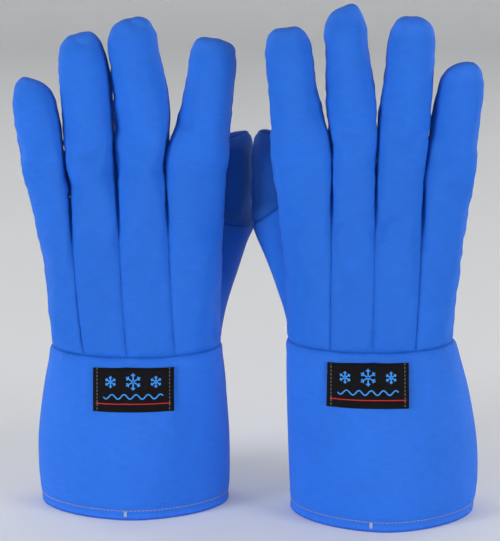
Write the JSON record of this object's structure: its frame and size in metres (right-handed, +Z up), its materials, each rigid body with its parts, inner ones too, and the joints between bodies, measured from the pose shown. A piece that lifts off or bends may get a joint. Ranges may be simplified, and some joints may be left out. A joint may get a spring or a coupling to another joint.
{
  "type": "cryogenic gloves",
  "caption": "Pair of insulated gauntlet gloves for handling very cold vessels: woven shell, quilted insulation and knitted liner, standing upright on open cuffs.",
  "frame": {"origin": "on the table, under the middle of the pair's bounding box", "axes": "+Z up from the cuffs to the fingertips, +X from the left glove to the right glove, -Y the side the backs of the hands face, +Y the palms' side"},
  "size_m": [0.3408, 0.1392, 0.3738],
  "materials": {
    "shell_fabric": "satin",
    "quilted_insulation": "matte",
    "knitted_liner": "matte",
    "woven_label": "satin",
    "hem_thread": "matte",
    "label_thread": "matte"
  },
  "bodies": {
    "left_gauntlet": {"left_cuff_shell": "shell_fabric", "left_cuff_insulation": "quilted_insulation", "left_cuff_lining": "knitted_liner", "left_hem_facing": "shell_fabric", "left_hem_stitching": "hem_thread", "left_label": "woven_label", "left_label_stitching": "label_thread"},
    "left_hand": {"left_back_panel_index": "shell_fabric", "left_back_panel_middle": "shell_fabric", "left_back_panel_ring": "shell_fabric", "left_back_panel_little": "shell_fabric", "left_palm_panel": "shell_fabric", "left_thumb_gusset": "shell_fabric", "left_hand_insulation": "quilted_insulation", "left_hand_liner": "knitted_liner"},
    "left_index": {"left_index_shell": "shell_fabric", "left_index_insulation": "quilted_insulation", "left_index_liner": "knitted_liner"},
    "left_middle": {"left_middle_shell": "shell_fabric", "left_middle_insulation": "quilted_insulation", "left_middle_liner": "knitted_liner"},
    "left_ring": {"left_ring_shell": "shell_fabric", "left_ring_insulation": "quilted_insulation", "left_ring_liner": "knitted_liner"},
    "left_little": {"left_little_shell": "shell_fabric", "left_little_insulation": "quilted_insulation", "left_little_liner": "knitted_liner"},
    "left_thumb": {"left_thumb_shell": "shell_fabric", "left_thumb_insulation": "quilted_insulation", "left_thumb_liner": "knitted_liner"},
    "right_gauntlet": {"right_cuff_shell": "shell_fabric", "right_cuff_insulation": "quilted_insulation", "right_cuff_lining": "knitted_liner", "right_hem_facing": "shell_fabric", "right_hem_stitching": "hem_thread", "right_label": "woven_label", "right_label_stitching": "label_thread"},
    "right_hand": {"right_back_panel_index": "shell_fabric", "right_back_panel_middle": "shell_fabric", "right_back_panel_ring": "shell_fabric", "right_back_panel_little": "shell_fabric", "right_palm_panel": "shell_fabric", "right_thumb_gusset": "shell_fabric", "right_hand_insulation": "quilted_insulation", "right_hand_liner": "knitted_liner"},
    "right_index": {"right_index_shell": "shell_fabric", "right_index_insulation": "quilted_insulation", "right_index_liner": "knitted_liner"},
    "right_middle": {"right_middle_shell": "shell_fabric", "right_middle_insulation": "quilted_insulation", "right_middle_liner": "knitted_liner"},
    "right_ring": {"right_ring_shell": "shell_fabric", "right_ring_insulation": "quilted_insulation", "right_ring_liner": "knitted_liner"},
    "right_little": {"right_little_shell": "shell_fabric", "right_little_insulation": "quilted_insulation", "right_little_liner": "knitted_liner"},
    "right_thumb": {"right_thumb_shell": "shell_fabric", "right_thumb_insulation": "quilted_insulation", "right_thumb_liner": "knitted_liner"}
  },
  "joints": [
    {"name": "left_wrist", "type": "hinge", "parent": "left_gauntlet", "child": "left_hand", "pos_m": [-0.08292, 0.00942, 0.122], "axis": [-1, 0, 0], "range_deg": [-20, 25], "stiffness_Nm_per_rad": 0.3},
    {"name": "left_index_knuckle", "type": "hinge", "parent": "left_hand", "child": "left_index", "pos_m": [-0.03572, 0.00942, 0.26], "axis": [-0.9925, 0, 0.1219], "range_deg": [-10, 55], "stiffness_Nm_per_rad": 0.05},
    {"name": "left_middle_knuckle", "type": "hinge", "parent": "left_hand", "child": "left_middle", "pos_m": [-0.07622, 0.00942, 0.261], "axis": [-0.9976, 0, -0.0698], "range_deg": [-10, 55], "stiffness_Nm_per_rad": 0.05},
    {"name": "left_ring_knuckle", "type": "hinge", "parent": "left_hand", "child": "left_ring", "pos_m": [-0.11172, 0.00942, 0.26], "axis": [-0.9945, 0, -0.1045], "range_deg": [-10, 55], "stiffness_Nm_per_rad": 0.05},
    {"name": "left_little_knuckle", "type": "hinge", "parent": "left_hand", "child": "left_little", "pos_m": [-0.14772, 0.00942, 0.249], "axis": [-0.9914, 0, -0.1305], "range_deg": [-10, 55], "stiffness_Nm_per_rad": 0.05},
    {"name": "left_thumb_root", "type": "hinge", "parent": "left_hand", "child": "left_thumb", "pos_m": [-0.01142, 0.05542, 0.2], "axis": [-1, 0, 0], "range_deg": [-10, 30], "stiffness_Nm_per_rad": 0.05},
    {"name": "glove_separation", "type": "slide", "parent": "left_gauntlet", "child": "right_gauntlet", "axis": [1, 0, 0], "range_m": [0, 0.12]},
    {"name": "right_wrist", "type": "hinge", "parent": "right_gauntlet", "child": "right_hand", "pos_m": [0.09038, -0.01058, 0.131], "axis": [-1, 0, 0], "range_deg": [-20, 25], "stiffness_Nm_per_rad": 0.3},
    {"name": "right_index_knuckle", "type": "hinge", "parent": "right_hand", "child": "right_index", "pos_m": [0.03818, -0.01058, 0.269], "axis": [-0.9903, 0, -0.1392], "range_deg": [-10, 55], "stiffness_Nm_per_rad": 0.05},
    {"name": "right_middle_knuckle", "type": "hinge", "parent": "right_hand", "child": "right_middle", "pos_m": [0.07618, -0.01058, 0.27], "axis": [-0.9962, 0, -0.0872], "range_deg": [-10, 55], "stiffness_Nm_per_rad": 0.05},
    {"name": "right_ring_knuckle", "type": "hinge", "parent": "right_hand", "child": "right_ring", "pos_m": [0.10898, -0.01058, 0.269], "axis": [-0.9962, 0, 0.0872], "range_deg": [-10, 55], "stiffness_Nm_per_rad": 0.05},
    {"name": "right_little_knuckle", "type": "hinge", "parent": "right_hand", "child": "right_little", "pos_m": [0.14518, -0.01058, 0.258], "axis": [-0.9936, 0, 0.1132], "range_deg": [-10, 55], "stiffness_Nm_per_rad": 0.05},
    {"name": "right_thumb_root", "type": "hinge", "parent": "right_hand", "child": "right_thumb", "pos_m": [0.01958, 0.03542, 0.209], "axis": [-1, 0, 0], "range_deg": [-10, 30], "stiffness_Nm_per_rad": 0.05}
  ]
}
